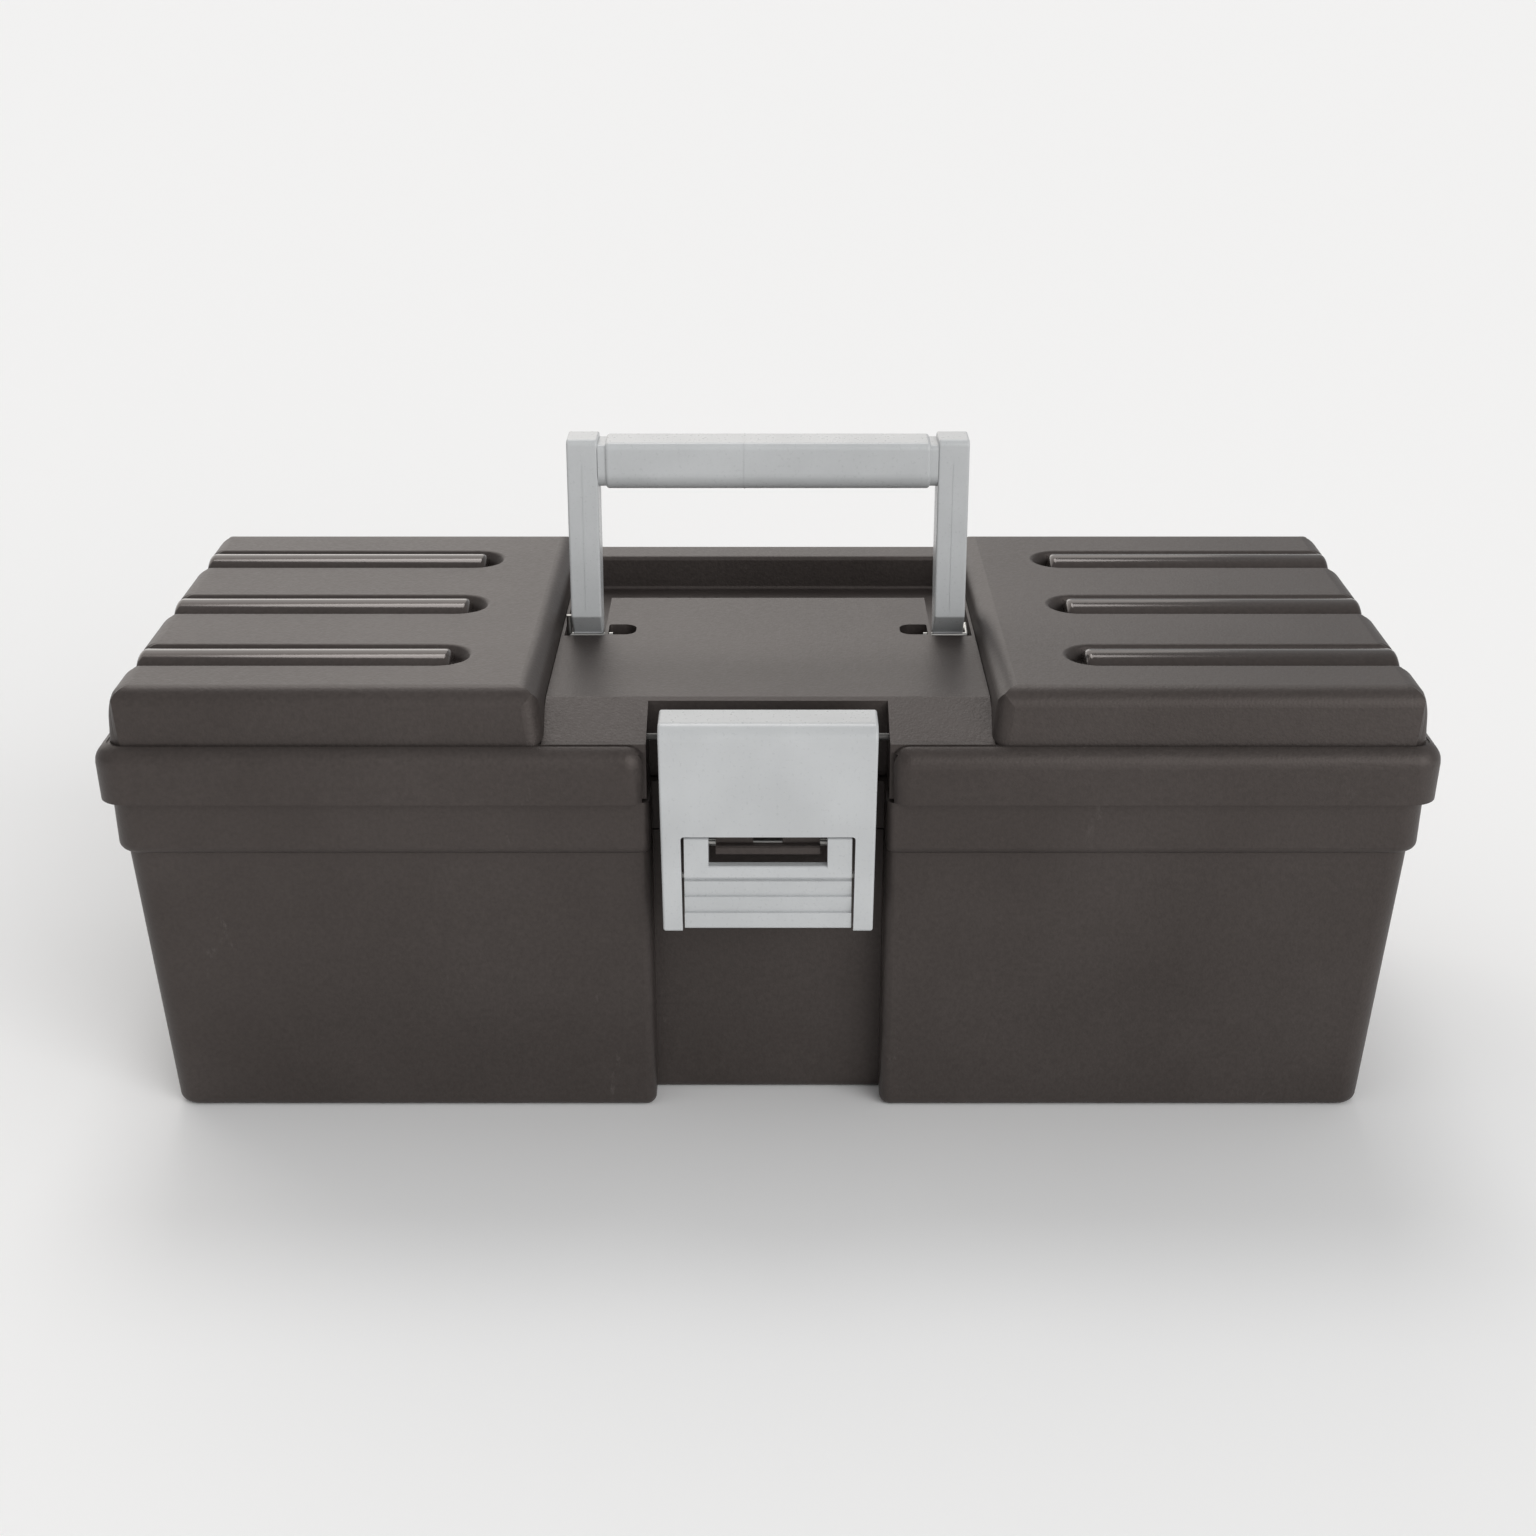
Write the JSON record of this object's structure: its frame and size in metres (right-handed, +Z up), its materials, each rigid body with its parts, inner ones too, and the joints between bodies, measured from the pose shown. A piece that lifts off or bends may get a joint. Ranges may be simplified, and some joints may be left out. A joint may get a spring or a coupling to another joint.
{
  "type": "toolbox with tray",
  "caption": "Moulded plastic toolbox with a hinged lid, folding carry handle, front draw latch and a lift-out tray with loose dividers.",
  "frame": {"origin": "middle of the base, on the surface that it stands on", "axes": "+Z up, -Y towards the latch side, +X to the right seen from the latch"},
  "size_m": [0.4066, 0.1868, 0.2024],
  "materials": {
    "body_plastic": "fine-textured moulded polypropylene, dark warm grey",
    "handle_plastic": "satin moulded plastic, light silver grey",
    "latch_plastic": "satin moulded plastic, light silver grey",
    "tray_plastic": "moulded polypropylene, mid grey",
    "steel": "zinc-plated drawn steel wire"
  },
  "bodies": {
    "box": {"box_body": "body_plastic", "hinge_pin_left": "steel", "hinge_pin_right": "steel"},
    "lid": {"lid_shell": "body_plastic", "pivot_wire_left": "steel", "pivot_wire_right": "steel", "latch_hinge_pin": "steel"},
    "handle": {"handle_arm_left": "handle_plastic", "handle_arm_right": "handle_plastic", "handle_grip": "handle_plastic", "handle_rod": "steel"},
    "latch": {"latch_frame": "latch_plastic", "latch_lever_pins": "steel"},
    "lever": {"latch_lever": "latch_plastic", "latch_catch_pin": "steel"},
    "tray": {"tray_shell": "tray_plastic", "tray_divider_1": "tray_plastic", "tray_divider_2": "tray_plastic", "tray_divider_3": "tray_plastic", "tray_divider_4": "tray_plastic"}
  },
  "joints": [
    {"name": "lid_hinge", "type": "hinge", "parent": "box", "child": "lid", "pos_m": [0, 0.0907, 0.1065], "axis": [-1, 0, 0], "range_deg": [0, 105]},
    {"name": "handle_fold", "type": "hinge", "parent": "lid", "child": "handle", "pos_m": [0, 0, 0.1346], "axis": [-1, 0, 0], "range_deg": [0, 86]},
    {"name": "latch_swing", "type": "hinge", "parent": "lid", "child": "latch", "pos_m": [0, -0.0785, 0.1284], "axis": [-1, 0, 0], "range_deg": [0, 80]},
    {"name": "lever_pull", "type": "hinge", "parent": "latch", "child": "lever", "pos_m": [0, -0.0875, 0.0865], "axis": [-1, 0, 0], "range_deg": [0, 80]},
    {"name": "tray_lift", "type": "slide", "parent": "box", "child": "tray", "axis": [0, 0, 1], "range_m": [0, 0.09]}
  ],
  "couplings": [
    {"joint": "tray_lift", "follows": "lid_hinge", "m_per_rad": 0.049}
  ]
}
